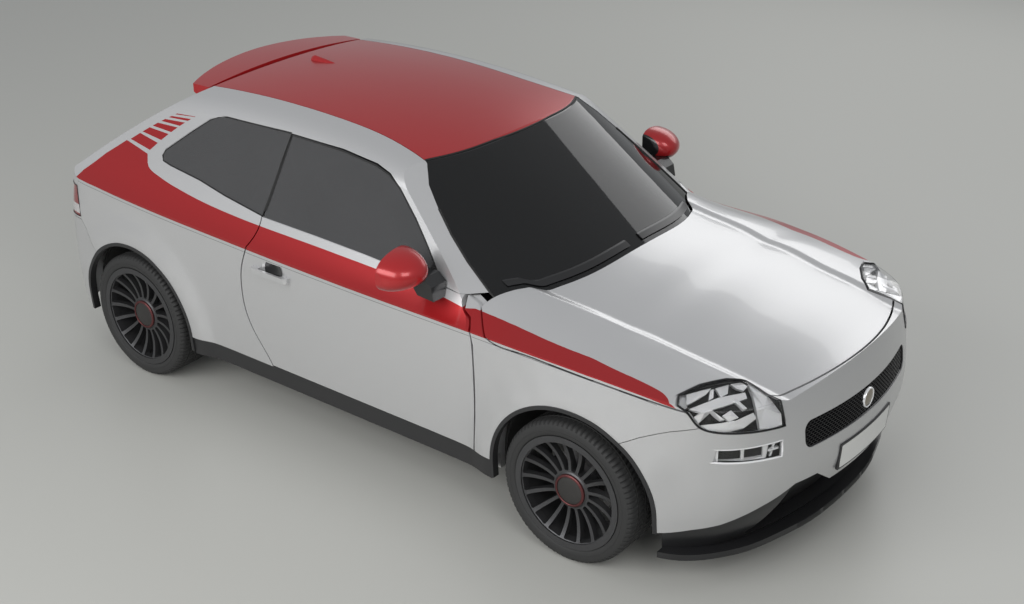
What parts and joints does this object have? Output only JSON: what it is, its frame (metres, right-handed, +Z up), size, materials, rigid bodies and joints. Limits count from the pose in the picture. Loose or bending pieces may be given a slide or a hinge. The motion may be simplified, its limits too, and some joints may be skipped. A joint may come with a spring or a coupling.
{
  "type": "three-door hatchback car",
  "caption": "Small three-door hatchback with red roof panel, dark tinted glass, spoked dark wheels, opening doors, bonnet and tailgate, and steering front wheels.",
  "frame": {"origin": "centre of the overall length and width, on the ground under the tyres", "axes": "+X towards the front of the car, +Z up, +Y to the driver's left"},
  "size_m": [3.9, 2.048, 1.45],
  "materials": {
    "silver_paint": "satin metallic paint",
    "red_paint": "gloss paint",
    "black_trim": "grained",
    "dark_glass": "tinted",
    "lamp": "clear",
    "red_lamp": "red lens",
    "rubber": "moulded",
    "dark_alloy": "dark satin paint",
    "under_metal": "black underseal",
    "cast": "as cast",
    "seat": "woven"
  },
  "bodies": {
    "root": {"front_wings": "silver_paint", "front_bumper": "silver_paint", "grille": "black_trim", "running_lamps": "lamp", "headlights": "lamp", "front_splitter": "black_trim", "rear_bumper": "silver_paint", "windscreen": "dark_glass", "roof_panel": "red_paint", "roof_antenna": "red_paint", "tail_lamps": "red_lamp", "side_frame_right": "silver_paint", "side_frame_left": "silver_paint", "quarter_glass": "dark_glass", "side_sills": "black_trim", "arch_trims": "black_trim", "floor_pan": "under_metal", "front_subframe": "under_metal", "engine_block": "cast", "fuel_tank": "black_trim", "exhaust": "under_metal", "front_arms": "under_metal", "rear_axle": "under_metal", "front_seats": "seat", "rear_seat": "seat", "dashboard": "black_trim", "steering_wheel": "black_trim", "wipers": "black_trim"},
    "bonnet": {"bonnet": "silver_paint"},
    "door_right": {"door_right": "silver_paint", "door_glass_right": "dark_glass", "mirror_right": "red_paint"},
    "door_left": {"door_left": "silver_paint", "door_glass_left": "dark_glass", "mirror_left": "red_paint"},
    "tailgate": {"tailgate": "silver_paint", "rear_window": "dark_glass", "roof_spoiler": "red_paint"},
    "steer_right": {"knuckle_right": "cast"},
    "steer_left": {"knuckle_left": "cast"},
    "wheel_front_right": {"wheel_front_right": "dark_alloy", "tyre_front_right": "rubber"},
    "wheel_front_left": {"wheel_front_left": "dark_alloy", "tyre_front_left": "rubber"},
    "wheel_rear_right": {"wheel_rear_right": "dark_alloy", "tyre_rear_right": "rubber"},
    "wheel_rear_left": {"wheel_rear_left": "dark_alloy", "tyre_rear_left": "rubber"}
  },
  "joints": [
    {"name": "bonnet_hinge", "type": "hinge", "parent": "root", "child": "bonnet", "pos_m": [0.582, 0, 0.958], "axis": [0, -1, 0], "range_deg": [0, 50]},
    {"name": "door_right_hinge", "type": "hinge", "parent": "root", "child": "door_right", "pos_m": [0.651, -0.861, 0.6], "axis": [0, 0, 1], "range_deg": [0, 65]},
    {"name": "door_left_hinge", "type": "hinge", "parent": "root", "child": "door_left", "pos_m": [0.651, 0.861, 0.6], "axis": [0, 0, -1], "range_deg": [0, 65]},
    {"name": "tailgate_hinge", "type": "hinge", "parent": "root", "child": "tailgate", "pos_m": [-1.154, 0, 1.414], "axis": [0, 1, 0], "range_deg": [0, 75]},
    {"name": "steering_right", "type": "hinge", "parent": "root", "child": "steer_right", "pos_m": [1.132, -0.72, 0.304], "axis": [0, 0, 1], "range_deg": [-33, 33]},
    {"name": "steering_left", "type": "hinge", "parent": "root", "child": "steer_left", "pos_m": [1.132, 0.72, 0.304], "axis": [0, 0, 1], "range_deg": [-33, 33]},
    {"name": "wheel_front_right_spin", "type": "hinge", "parent": "steer_right", "child": "wheel_front_right", "pos_m": [1.132, -0.7685, 0.304], "axis": [0, 1, 0], "continuous": true},
    {"name": "wheel_front_left_spin", "type": "hinge", "parent": "steer_left", "child": "wheel_front_left", "pos_m": [1.132, 0.7685, 0.304], "axis": [0, 1, 0], "continuous": true},
    {"name": "wheel_rear_right_spin", "type": "hinge", "parent": "root", "child": "wheel_rear_right", "pos_m": [-1.368, -0.7685, 0.304], "axis": [0, 1, 0], "continuous": true},
    {"name": "wheel_rear_left_spin", "type": "hinge", "parent": "root", "child": "wheel_rear_left", "pos_m": [-1.368, 0.7685, 0.304], "axis": [0, 1, 0], "continuous": true}
  ],
  "couplings": [
    {"joint": "steering_left", "follows": "steering_right", "ratio": 1}
  ]
}
